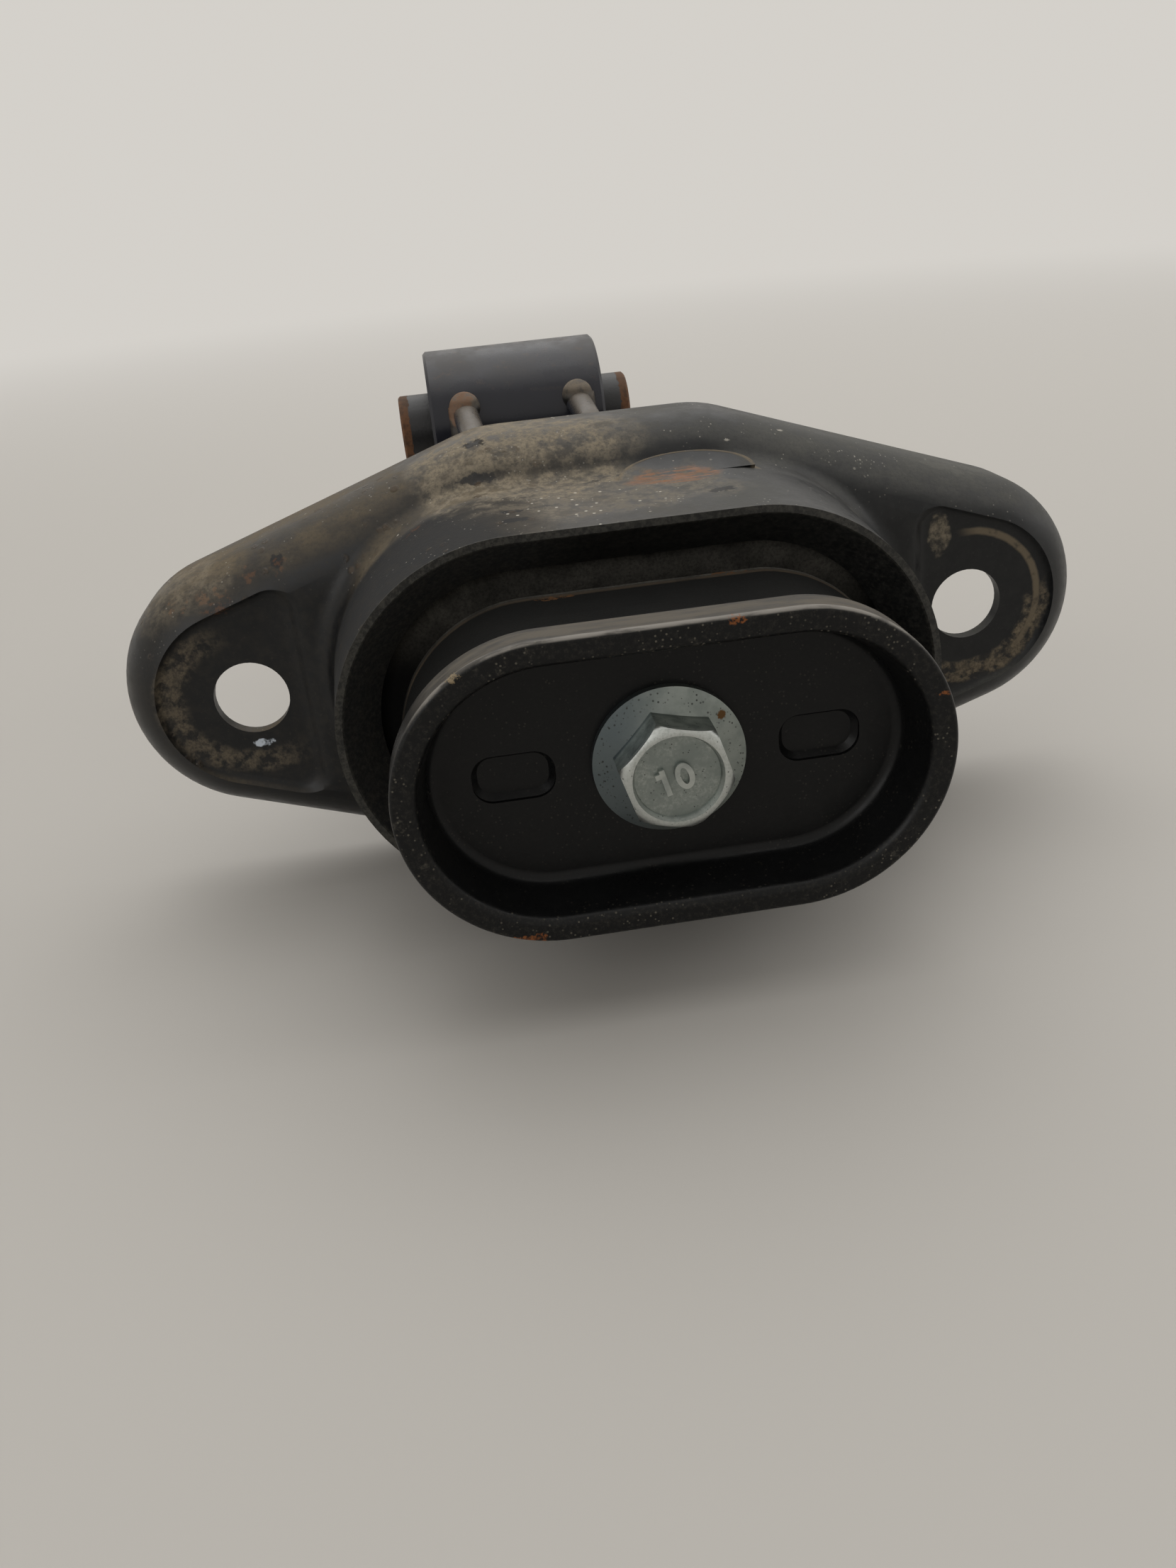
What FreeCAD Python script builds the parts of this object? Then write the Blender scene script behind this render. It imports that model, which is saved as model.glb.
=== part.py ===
"""Transmission mount: a two-eared stamped bracket that holds a bolted link in two rubber cushions.

The link axis runs along Y with the bolt head at the front, which is -Y. +Z is up.
The origin is midway between the two ear holes, on the rear faces of the ear pads.
"""
import FreeCAD
import Part
import math
import os

# stamped bracket, seen from the front
sheet = 2.8                # thickness of the bracket's steel
ear_pitch = 150.0          # between the ear hole axes
ear_hole_d = 15.0
ear_radius = 26.0          # rounded end of the bracket, about the hole
crown_half_width = 23.2    # half of the straight top edge and bottom edge
crown_half_height = 45.0   # from the axis to the straight top edge
crown_corner_radius = 26.5
rim_depth = 20.8           # how far the turned rim reaches back from the front face
rim_bend = 12.7            # outer radius of the roll from the face into the rim
pad_sink = 2.5             # how far the ear pads are pressed back from the face
recess_inset = 5.4         # from the outline to the crest of the pressed recess
recess_run = 3.8           # run of the recess' sloping side
recess_reach = 13.8        # from an ear hole's axis to the recess' side by the collar
recess_side = 1.3          # how much longer the slope by the collar is
recess_corner = 5.5
rib_centre_x = 15.2        # half oval facet in the bend above the collar
rib_half_width = 13.2
rib_length = 6.3
rib_slope = 29.4           # degrees
rib_start = 5.2            # from the face forward to the facet's foot
rib_thickness = 5.0

# drawn collar of the bracket: a rounded slot shape about a straight core
collar_core = 21.3         # half length of the straight core
collar_radius = 34.8       # outside, at the lip
collar_reach = 33.6        # from the ear pads' front face to the lip
collar_draft = 1.4         # how much wider the collar is at its root
root_radius = 5.0          # outside blend from the collar to the face
lip_width = 1.3            # flat edge of the lip
throat_radius = 26.8       # opening inside the turned-in lip
throat_depth = 7.2         # how far the turned-in lip slopes back

# front stop plate
stop_core = 19.8
stop_radius = 26.5
stop_rim_width = 4.2
stop_edge = 6.5            # thickness of the rim
stop_dish = 10.5           # depth of the dish
stop_wall = 4.0            # thickness of the dish floor
stop_draft = 1.6
stop_side = 2.5            # thickness of the dish side
stop_back_bend = 0.4
stop_reach = 31.8          # from the lip to the front of the plate
tab_offset = 26.0          # pressed marks in the dish floor, from the axis
tab_length = 14.0
tab_height = 8.5
tab_sink = 1.8
tab_bevel = 1.0

# rubber cushions
cushion_side = 1.9         # front cushion inside the stop plate's edge
cushion_waist_sink = 1.1
cushion_step = 2.4         # shoulder near the lip
cushion_body_gap = 1.2     # between the rear cushion and the collar
throat_gap = 0.4           # rear cushion to the turned-in lip
fit_gap = 0.15             # rubber to steel, on a radius

# rear stop plate
back_plate = 4.0
back_offset = 8.0          # from the ear pads to the rear plate

# bolt, spacer and nut
bolt_d = 12.0
bolt_clearance = 0.25      # on a radius
flange_d = 26.0
flange_edge = 1.5
flange_cone = 1.4
hex_width = 17.0
head_height = 9.4          # from the dish floor to the top of the head
head_top = 8.0             # radius of the top, where the shoulder starts
shoulder_drop = 2.7        # how far the rounded shoulder falls to the corners
shoulder_bulge = 0.45
head_turn = -13.1          # turn of the hexagon, as tightened
recess_radius = 7.6
recess_depth = 1.2
recess_taper = 0.5
mark_height = 4.8
mark_width = 0.9
mark_rise = 0.75
mark_turn = 15.0
mark_one = -2.2            # places of the two figures across the head
mark_nought = 1.1
nought_width = 3.1
spacer_wall = 4.0
nut_width = 19.0
nut_height = 10.5
bolt_tail = 3.0            # beyond the nut

# link arm: a channel open at the top
arm_wall = 4.0
arm_half_width = 18.2
arm_top = 12.5             # above the axis at the rear plate
arm_bottom = -17.0
arm_bend = 6.0
roll_radius = 3.6          # rolled upper edges of the arm's cheeks
roll_sink = 2.2            # from the arm's top down to the middle of a rolled edge
cap_radius = 4.4           # weld on a rolled edge's end, against the eye
cap_lift = 1.6             # how far it climbs above the rolled edge's middle

# eye at the rear end of the link
eye_x = -6.8
eye_y = 141.0
eye_z = 25.4
eye_length = 50.0
eye_d = 43.6
eye_wall = 3.5
eye_edge = 0.8
bush_recess = 1.5          # rubber ends inside the tube ends
sleeve_length = 67.8
sleeve_d = 20.4
sleeve_bore = 12.4
sleeve_edge = 0.6

# weld beads
bead_radius = 2.8
bead_trim = 1.0            # degrees that a bead round the eye hangs below the arm

# places along the link axis that follow from the sizes above
pad_front = -sheet
face_front = pad_front - pad_sink
rim_back = face_front + rim_depth
lip_front = pad_front - collar_reach
stop_front = lip_front - stop_reach
dish_floor = stop_front + stop_dish
dish_back = dish_floor + stop_wall
stop_back = stop_front + stop_edge
lip_inner = collar_radius - lip_width
throat_front = lip_front + throat_depth
slope = math.atan2(throat_depth, lip_inner - throat_radius)
throat_back = throat_front + sheet * math.cos(slope)
throat_back_radius = throat_radius + sheet * math.sin(slope)
block_front = throat_back + throat_gap
cushion_radius = stop_radius - cushion_side
cushion_waist = cushion_radius - cushion_waist_sink
back_front = back_offset
back_rear = back_front + back_plate
spacer_d = bolt_d + 2 * (bolt_clearance + spacer_wall)
head_front = dish_floor - head_height
bolt_end = back_rear + nut_height + bolt_tail

X_AXIS = FreeCAD.Vector(1, 0, 0)
Y_AXIS = FreeCAD.Vector(0, 1, 0)


def vec(x, y, z):
    return FreeCAD.Vector(x, y, z)


def join(*shapes):
    """Fuse shapes into one and merge the seams between them."""
    return shapes[0].fuse(list(shapes[1:])).removeSplitter()


def rod(radius, y0, y1, x=0.0, z=0.0):
    """A cylinder along the link axis."""
    return Part.makeCylinder(radius, y1 - y0, vec(x, y0, z), Y_AXIS)


def cross_rod(radius, length):
    """A cylinder across the link, centred on the eye."""
    return Part.makeCylinder(radius, length, vec(eye_x - length / 2, eye_y, eye_z), X_AXIS)


def profile_face(steps, place):
    """Close a section given as (radius, y) points. A step of two points is an arc by its middle."""
    start = steps[0]
    edges = []
    here = start
    for step in steps[1:] + [start]:
        if isinstance(step[0], tuple):
            middle, end = step
            edges.append(Part.Arc(place(here), place(middle), place(end)).toShape())
        else:
            end = step
            edges.append(Part.makeLine(place(here), place(end)))
        here = end
    return Part.Face(Part.Wire(edges))


def slot_body(core, steps):
    """Carry a (radius, y) section round a rounded slot with a straight core of 2 * core."""
    right = profile_face(steps, lambda p: vec(core, p[1], -p[0]))
    left = profile_face(steps, lambda p: vec(-core, p[1], p[0]))
    low = profile_face(steps, lambda p: vec(-core, p[1], -p[0]))
    down_y = vec(0, -1, 0)
    return join(
        right.revolve(vec(core, 0, 0), down_y, 180),
        left.revolve(vec(-core, 0, 0), down_y, 180),
        left.extrude(vec(2 * core, 0, 0)),
        low.extrude(vec(2 * core, 0, 0)),
    )


def arc_middle(centre, radius, degrees):
    angle = math.radians(degrees)
    return (centre[0] + radius * math.cos(angle), centre[1] + radius * math.sin(angle))


def shield_prism(inset, y0, y1):
    """The bracket's outline, drawn in by inset all round, between two planes."""
    ear = ear_pitch / 2
    from_ear = math.atan2(crown_half_height, crown_half_width - ear)
    reach = math.hypot(crown_half_width - ear, crown_half_height)
    side = from_ear - math.acos(ear_radius / reach)
    corner_x = crown_half_width - inset * math.tan((math.pi / 2 - side) / 2)
    corner_z = crown_half_height - inset
    radius = ear_radius - inset
    touch_x = ear + radius * math.cos(side)
    touch_z = radius * math.sin(side)
    top = Part.makeLine(vec(-corner_x, y0, corner_z), vec(corner_x, y0, corner_z))
    edges = [top]
    for sx in (1, -1):
        tip = vec(sx * (ear + radius), y0, 0)
        edges.append(Part.makeLine(vec(sx * corner_x, y0, corner_z), vec(sx * touch_x, y0, touch_z)))
        edges.append(Part.Arc(vec(sx * touch_x, y0, touch_z), tip, vec(sx * touch_x, y0, -touch_z)).toShape())
        edges.append(Part.makeLine(vec(sx * touch_x, y0, -touch_z), vec(sx * corner_x, y0, -corner_z)))
    edges.append(Part.makeLine(vec(corner_x, y0, -corner_z), vec(-corner_x, y0, -corner_z)))
    wire = Part.Wire(Part.__sortEdges__(edges))
    prism = Part.Face(wire).extrude(vec(0, y1 - y0, 0))
    corners = [e for e in prism.Edges
               if abs(abs(e.Vertexes[0].X) - corner_x) < 0.01 and abs(e.Vertexes[0].X - e.Vertexes[-1].X) < 0.01
               and abs(e.Vertexes[0].Z - e.Vertexes[-1].Z) < 0.01]
    return prism.makeFillet(crown_corner_radius - inset, corners)


def round_front(body, y, radius):
    """Round the edges that lie in the plane at y."""
    edges = [e for e in body.Edges if abs(e.BoundBox.YMin - y) < 0.01 and abs(e.BoundBox.YMax - y) < 0.01]
    return body.makeFillet(radius, edges)


def collar_wall(y):
    """Outside radius of the collar about its straight core, at y."""
    draft = collar_draft / (face_front - root_radius - lip_front)
    return collar_radius + draft * (y - lip_front)


def shell_body(inset, front_end):
    """The face with its rolled edge and the collar on it, drawn in by inset all round."""
    front = face_front + inset
    deep = face_front + rim_bend / 2
    body = round_front(shield_prism(inset, front, rim_back), front, rim_bend - inset)
    body = join(body, slot_body(collar_core, front_end + [(collar_wall(deep) - inset, deep), (0, deep)]))

    def on_collar(point):
        side = max(abs(point.x) - collar_core, 0.0)
        return abs(math.hypot(side, point.z) - collar_wall(point.y) + inset) < 0.02

    edges = []
    for edge in body.Edges:
        span = edge.LastParameter - edge.FirstParameter
        points = [edge.valueAt(edge.FirstParameter + t * span) for t in (0.0, 0.3, 0.5, 0.7, 1.0)]
        if all(on_collar(point) and point.y > front - 0.5 for point in points):
            edges.append(edge)
    return body.makeFillet(root_radius + inset, edges)


def collar_mouth():
    """The sloping mouth at the front and the throat through the turned-in lip."""
    return slot_body(collar_core, [
        (0, lip_front - 1.0),
        (lip_inner + math.cos(slope) / math.sin(slope), lip_front - 1.0),
        (throat_radius, throat_front),
        (throat_radius + sheet * math.sin(slope), throat_back),
        (0, throat_back),
    ])


def side_normal():
    """Direction, in degrees from X, that the outline's slanting side faces."""
    ear = ear_pitch / 2
    from_ear = math.atan2(crown_half_height, crown_half_width - ear)
    reach = math.hypot(crown_half_width - ear, crown_half_height)
    return math.degrees(from_ear - math.acos(ear_radius / reach))


def recess_wire(sx, inset, reach, corner, y):
    """Outline of the recess round an ear hole: parallel to the bracket's outline, and straight by the collar."""
    ear = ear_pitch / 2
    side = math.radians(side_normal())
    nx, nz = math.cos(side), math.sin(side)
    radius = ear_radius - inset
    left = ear - reach
    top = (nx * ear + radius - nx * left) / nz
    tangent = corner * math.tan(math.acos(-nx) / 2)
    low = (left, top - tangent)
    high = (left + tangent * nz, top - tangent * nx)
    centre = (left + corner, top - tangent)
    away = math.hypot(left - centre[0], top - centre[1])
    middle = (centre[0] + corner * (left - centre[0]) / away, centre[1] + corner * (top - centre[1]) / away)
    touch = (ear + radius * nx, radius * nz)

    def at(point, up=1):
        return vec(sx * point[0], y, up * point[1])

    return Part.Wire([
        Part.makeLine(at(low, -1), at(low)),
        Part.Arc(at(low), at(middle), at(high)).toShape(),
        Part.makeLine(at(high), at(touch)),
        Part.Arc(at(touch), at((ear + radius, 0)), at(touch, -1)).toShape(),
        Part.makeLine(at(touch, -1), at(high, -1)),
        Part.Arc(at(high, -1), at(middle, -1), at(low, -1)).toShape(),
    ])


def recess(sx, grow, y0):
    """The pressed recess of an ear, with an S-shaped side, from y0 back by the pad's depth."""
    wires = []
    for run, depth in ((-0.15, -0.15), (0.0, 0.0), (0.2, 0.1), (0.4, 0.32), (0.6, 0.68), (0.8, 0.9), (1.0, 1.0)):
        inset = recess_inset - grow + run * recess_run
        reach = recess_reach + grow - run * recess_run * recess_side
        corner = recess_corner + grow - run * recess_run * 0.6
        wires.append(recess_wire(sx, inset, reach, corner, y0 + depth * pad_sink))
    return Part.makeLoft(wires, True)


def pressed_rib():
    """Half oval facet that fills the bend between the collar and the face."""
    oval = Part.Ellipse(vec(0, 0, 0), rib_half_width, rib_length)
    body = Part.Face(Part.Wire(oval.toShape())).extrude(vec(0, 0, -rib_thickness))
    keep = Part.makeBox(2 * rib_half_width, rib_length, rib_thickness, vec(-rib_half_width, 0, -rib_thickness))
    body = body.common(keep)
    body.rotate(vec(0, 0, 0), X_AXIS, rib_slope)
    foot = face_front - rib_start
    body.translate(vec(rib_centre_x, foot, collar_wall(foot)))
    return body


def housing_bracket():
    ear = ear_pitch / 2
    groove = throat_back + (collar_radius - sheet - throat_back_radius) * -math.tan(slope)
    outside = shell_body(0.0, [(0, lip_front), (collar_radius, lip_front)])
    outside = join(outside, pressed_rib())
    hollow = shell_body(sheet, [
        (0, throat_back), (throat_back_radius, throat_back), (collar_wall(groove) - sheet, groove)])
    for sx in (1, -1):
        outside = outside.cut(recess(sx, 0.0, face_front))
        hollow = hollow.cut(recess(sx, sheet * 0.6, face_front + sheet))
    body = outside.cut(hollow).cut(collar_mouth())
    for sx in (1, -1):
        body = body.cut(rod(ear_hole_d / 2, face_front - 1, rim_back, sx * ear))
    return body


def stop_tab(sx):
    """Rounded mark pressed into the dish floor."""
    box = Part.makeBox(tab_length, tab_sink, tab_height,
                       vec(sx * tab_offset - tab_length / 2, dish_floor, -tab_height / 2))
    along = [e for e in box.Edges if e.BoundBox.YLength > tab_sink / 2]
    box = box.makeFillet(tab_height * 0.42, along)
    deep = [e for e in box.Edges if e.BoundBox.YMin > dish_floor + tab_sink - 0.01]
    return box.makeChamfer(tab_bevel, deep)


def front_stop_plate():
    mouth = stop_radius - stop_rim_width
    floor = mouth - stop_draft
    back = floor + stop_side
    body = slot_body(stop_core, [
        (0, dish_floor),
        (floor - 2.0, dish_floor),
        ((floor - 0.6, dish_floor - 0.6), (floor, dish_floor - 2.0)),
        (mouth - 0.3, stop_front + 1.6),
        ((mouth + 0.3, stop_front + 0.4), (mouth + 1.4, stop_front)),
        (stop_radius - 0.8, stop_front),
        ((stop_radius - 0.23, stop_front + 0.23), (stop_radius, stop_front + 0.8)),
        (stop_radius, stop_back),
        (back + stop_back_bend, stop_back),
        (back, stop_back + stop_back_bend),
        (back, dish_back - stop_draft),
        (back - stop_draft, dish_back),
        (0, dish_back),
    ])
    hole = bolt_d / 2 + bolt_clearance
    body = body.cut(rod(hole, dish_floor - 1, dish_back + 1))
    for sx in (1, -1):
        body = body.cut(stop_tab(sx))
    return body


def front_cushion():
    """Rubber between the front stop plate and the rear cushion, with a shoulder at the lip."""
    plate_back = stop_radius - stop_rim_width - stop_draft + stop_side
    shoulder = lip_front - 2.0
    neck_start = stop_back + 0.8
    neck = []
    for share in (0.2, 0.4, 0.6, 0.8):
        sunk = (cushion_radius - cushion_waist) * 4 * share * (1 - share)
        neck.append((cushion_radius - sunk, neck_start + share * (shoulder - neck_start)))
    body = slot_body(stop_core, [
        (0, dish_back),
        (plate_back - stop_draft, dish_back),
        (plate_back, dish_back - stop_draft),
        (plate_back, stop_back + stop_back_bend),
        (plate_back + stop_back_bend, stop_back),
        (cushion_radius - 0.6, stop_back),
        (cushion_radius, neck_start),
        *neck,
        (cushion_radius, shoulder),
        (cushion_radius - cushion_step / 2, shoulder + cushion_step),
        (cushion_waist - cushion_step, block_front),
        (0, block_front),
    ])
    return body.cut(rod(spacer_d / 2 + fit_gap, dish_back - 1, block_front + 1))


def rear_cushion():
    """Rubber block that fills the collar behind the turned-in lip."""
    radius = collar_radius - sheet - cushion_body_gap
    body = slot_body(collar_core, [
        (0, block_front),
        (radius - 1.5, block_front),
        (radius, block_front + 1.5),
        (radius, -1.0),
        (radius - 3.0, back_front - 1.5),
        (radius - 4.5, back_front),
        (0, back_front),
    ])
    return body.cut(rod(spacer_d / 2 + fit_gap, block_front - 1, back_front + 1))


def spacer_sleeve():
    bore = bolt_d / 2 + bolt_clearance
    return rod(spacer_d / 2, dish_back, back_front).cut(rod(bore, dish_back - 1, back_front + 1))


def rear_stop_plate():
    body = slot_body(stop_core, [
        (0, back_front),
        (stop_radius - 0.8, back_front),
        (stop_radius, back_front + 0.8),
        (stop_radius, back_rear - 0.8),
        (stop_radius - 0.8, back_rear),
        (0, back_rear),
    ])
    return body.cut(rod(bolt_d / 2 + bolt_clearance, back_front - 1, back_rear + 1))


def hexagon(width, y0, y1, turn=0.0):
    """A hexagonal bar along the link axis."""
    corner = width / math.sqrt(3)
    points = []
    for step in range(7):
        angle = math.radians(60 * step + turn)
        points.append(vec(corner * math.cos(angle), y0, corner * math.sin(angle)))
    return Part.Face(Part.makePolygon(points)).extrude(vec(0, y1 - y0, 0))


def grade_mark():
    """Raised figure ten in the head's recess."""
    floor = head_front + recess_depth
    half = mark_height / 2
    front = floor - mark_rise
    deep = mark_rise + 0.2
    one = Part.makeBox(mark_width, deep, mark_height, vec(mark_one - mark_width / 2, front, -half))
    flag = Part.makeBox(1.4 * mark_width, deep, mark_width, vec(mark_one - 1.4 * mark_width, front, half - 1.6 * mark_width))
    ring = Part.Face(Part.Wire(Part.Ellipse(vec(0, 0, 0), half, nought_width / 2).toShape()))
    inner = Part.Ellipse(vec(0, 0, 0), half - mark_width, nought_width / 2 - mark_width)
    nought = ring.cut(Part.Face(Part.Wire(inner.toShape())))
    nought.rotate(vec(0, 0, 0), vec(0, 0, 1), 90)
    nought.rotate(vec(0, 0, 0), X_AXIS, 90)
    nought = nought.extrude(vec(0, deep, 0))
    nought.translate(vec(mark_nought, front, 0))
    mark = Part.Compound([one.fuse(flag), nought])
    mark.rotate(vec(0, 0, 0), Y_AXIS, -mark_turn)
    return mark


def head_cap(corner, base):
    """Turned shape that rounds the shoulder of the hexagon."""
    drop = head_front + shoulder_drop
    middle = ((head_top + corner) / 2 + shoulder_bulge, head_front + shoulder_drop / 2 - shoulder_bulge)
    section = profile_face([
        (0, head_front), (head_top, head_front), (middle, (corner, drop)), (corner, base), (0, base),
    ], lambda p: vec(p[0], p[1], 0))
    return section.revolve(vec(0, 0, 0), Y_AXIS, 360)


def flange_bolt():
    flange_front = dish_floor - flange_edge
    disc = rod(flange_d / 2, flange_front, dish_floor)
    cone = Part.makeCone(flange_d / 2, hex_width / 2, flange_cone, vec(0, flange_front, 0), vec(0, -1, 0))
    head = hexagon(hex_width, head_front, flange_front, head_turn)
    head = head.common(head_cap(hex_width / math.sqrt(3) + 0.01, flange_front))
    dish = Part.makeCone(recess_radius, recess_radius - recess_taper, recess_depth, vec(0, head_front, 0), Y_AXIS)
    head = head.cut(dish)
    shank = rod(bolt_d / 2, dish_floor, bolt_end - 1.0)
    tip = Part.makeCone(bolt_d / 2, bolt_d / 2 - 1.0, 1.0, vec(0, bolt_end - 1.0, 0), Y_AXIS)
    body = join(disc, cone, head, shank, tip)
    for piece in grade_mark().Solids:
        body = body.fuse(piece)
    return body


def weld_nut():
    nut = hexagon(nut_width, back_rear, back_rear + nut_height)
    return nut.cut(rod(bolt_d / 2 + bolt_clearance / 2, back_rear - 1, back_rear + nut_height + 1))


def channel_section(inset):
    """Outline of the arm's channel in the plane of the rear plate."""
    half = arm_half_width - inset
    low = arm_bottom + inset
    bend = arm_bend - inset
    y = back_rear
    slant = bend * (1 - math.sqrt(0.5))
    edges = [
        Part.makeLine(vec(-half, y, arm_top), vec(-half, y, low + bend)),
        Part.Arc(vec(-half, y, low + bend), vec(-half + slant, y, low + slant), vec(-half + bend, y, low)).toShape(),
        Part.makeLine(vec(-half + bend, y, low), vec(half - bend, y, low)),
        Part.Arc(vec(half - bend, y, low), vec(half - slant, y, low + slant), vec(half, y, low + bend)).toShape(),
        Part.makeLine(vec(half, y, low + bend), vec(half, y, arm_top)),
        Part.makeLine(vec(half, y, arm_top), vec(-half, y, arm_top)),
    ]
    return Part.Face(Part.Wire(edges))


def link_arm():
    """Channel from the rear plate to the eye, rising and leaning with the eye's place."""
    section = channel_section(0.0).cut(channel_section(arm_wall))
    along = vec(eye_x, eye_y - back_rear, eye_z)
    body = section.extrude(along)
    for sx in (1, -1):
        middle = vec(sx * (arm_half_width - arm_wall / 2), back_rear, arm_top - roll_sink)
        roll = Part.Face(Part.Wire(Part.makeCircle(roll_radius, middle, Y_AXIS)))
        body = body.fuse(roll.extrude(along))
    return body.cut(cross_rod(eye_d / 2, eye_length * 2))


def eye_tube():
    tube = cross_rod(eye_d / 2, eye_length)
    rims = [e for e in tube.Edges if e.BoundBox.XLength < 0.01]
    tube = tube.makeChamfer(eye_edge, rims)
    return tube.cut(cross_rod(eye_d / 2 - eye_wall, eye_length + 2))


def eye_bush():
    body = cross_rod(eye_d / 2 - eye_wall - fit_gap, eye_length - 2 * bush_recess)
    return body.cut(cross_rod(sleeve_d / 2 + fit_gap, eye_length))


def eye_inner_sleeve():
    sleeve = cross_rod(sleeve_d / 2, sleeve_length)
    rims = [e for e in sleeve.Edges if e.BoundBox.XLength < 0.01]
    sleeve = sleeve.makeChamfer(sleeve_edge, rims)
    return sleeve.cut(cross_rod(sleeve_bore / 2, sleeve_length + 2))


def cheek_shift(y):
    """Sideways place of the channel at y."""
    return eye_x * (y - back_rear) / (eye_y - back_rear)


def weld_beads(tube, arm, plate):
    """Beads where the arm meets the eye and where it meets the rear plate."""
    beads = []
    for sx in (1, -1):
        x = sx * arm_half_width + cheek_shift(eye_y - eye_d / 2)
        ring = Part.makeTorus(eye_d / 2, bead_radius, vec(x, eye_y, eye_z), X_AXIS)
        ring = ring.common(bead_wedge(x)).fuse(weld_cap(sx))
        beads.append(ring.cut(tube).cut(arm))
        bar = Part.makeCylinder(bead_radius, arm_top - arm_bottom - 2 * arm_bend,
                                vec(sx * arm_half_width, back_rear, arm_bottom + arm_bend), vec(0, 0, 1))
        beads.append(bar.cut(arm).cut(plate))
    kept = []
    for bead in beads:
        kept.append(max(bead.Solids, key=lambda s: s.Volume))
    return Part.Compound(kept)


def weld_cap(sx):
    """Round end of the weld where a rolled edge meets the eye."""
    angle = math.radians(meeting_angle(arm_top - roll_sink + cap_lift))
    y = eye_y - eye_d / 2 * math.cos(angle)
    x = sx * (arm_half_width - arm_wall / 2) + cheek_shift(y)
    return Part.makeSphere(cap_radius, vec(x, y, eye_z + eye_d / 2 * math.sin(angle)))


def meeting_angle(height):
    """Degrees above the eye's level where the arm's edge at this height meets the tube."""
    rise = eye_z / (eye_y - back_rear)
    tube = eye_d / 2
    under = (height * rise) ** 2 - (1 + rise ** 2) * (height ** 2 - tube ** 2)
    before = (height * rise + math.sqrt(under)) / (1 + rise ** 2)
    return math.degrees(math.atan2(height - rise * before, before))


def bead_wedge(x):
    """The part of the ring round the eye that faces the arm."""
    reach = eye_d
    start = meeting_angle(arm_top) - bead_trim
    end = meeting_angle(arm_bottom) - bead_trim
    points = [vec(x - reach, eye_y, eye_z)]
    for degrees in (start, (start + end) / 2, end):
        angle = math.radians(degrees)
        points.append(vec(x - reach, eye_y - reach * math.cos(angle), eye_z + reach * math.sin(angle)))
    points.append(points[0])
    return Part.Face(Part.makePolygon(points)).extrude(vec(2 * reach, 0, 0))


def main():
    os.makedirs("parts", exist_ok=True)
    tube = eye_tube()
    arm = link_arm()
    rear_plate = rear_stop_plate()
    parts = {
        "housing_bracket": housing_bracket(),
        "front_stop_plate": front_stop_plate(),
        "flange_bolt": flange_bolt(),
        "front_cushion": front_cushion(),
        "rear_cushion": rear_cushion(),
        "spacer_sleeve": spacer_sleeve(),
        "rear_stop_plate": rear_plate,
        "weld_nut": weld_nut(),
        "link_arm": arm,
        "eye_tube": tube,
        "eye_bush": eye_bush(),
        "eye_inner_sleeve": eye_inner_sleeve(),
        "weld_beads": weld_beads(tube, arm, rear_plate),
    }
    for name, shape in parts.items():
        shape.exportStep("parts/" + name + ".step")
        box = shape.BoundBox
        print(name, shape.isValid(), len(shape.Solids), round(shape.Volume), round(box.YMin, 1), round(box.YMax, 1))


main()
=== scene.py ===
"""Looks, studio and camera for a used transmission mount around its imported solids."""

import logging
import math
from dataclasses import dataclass, field
from enum import Enum
from typing import Sequence

import bmesh
import bpy
from mathutils import Matrix, Vector, noise


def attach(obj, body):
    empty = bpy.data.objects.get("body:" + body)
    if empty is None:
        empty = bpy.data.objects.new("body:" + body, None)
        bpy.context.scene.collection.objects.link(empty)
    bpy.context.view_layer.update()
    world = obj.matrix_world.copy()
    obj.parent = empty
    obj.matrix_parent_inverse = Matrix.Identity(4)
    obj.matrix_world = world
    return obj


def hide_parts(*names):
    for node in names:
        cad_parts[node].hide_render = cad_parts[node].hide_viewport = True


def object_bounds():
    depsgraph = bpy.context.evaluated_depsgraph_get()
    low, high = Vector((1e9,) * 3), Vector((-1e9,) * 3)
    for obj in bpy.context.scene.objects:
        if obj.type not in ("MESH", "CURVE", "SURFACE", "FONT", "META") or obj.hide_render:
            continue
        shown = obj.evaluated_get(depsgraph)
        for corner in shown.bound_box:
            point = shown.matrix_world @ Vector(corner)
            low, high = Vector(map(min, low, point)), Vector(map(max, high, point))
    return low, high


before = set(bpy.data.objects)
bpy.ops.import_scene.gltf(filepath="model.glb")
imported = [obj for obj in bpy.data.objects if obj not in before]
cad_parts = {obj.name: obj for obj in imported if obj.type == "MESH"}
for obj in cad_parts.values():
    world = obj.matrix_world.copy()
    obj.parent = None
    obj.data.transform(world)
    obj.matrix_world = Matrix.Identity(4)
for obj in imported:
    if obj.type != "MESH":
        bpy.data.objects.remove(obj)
CAD_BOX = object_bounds()
LOG = logging.getLogger("transmission_mount")
MM = 0.001
Rgb = tuple[float, float, float]
Point = tuple[float, float, float]


class Facing(Enum):
    """Which way a surface must face to gather dust."""

    UP = "up"
    FRONT = "front"


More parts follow.
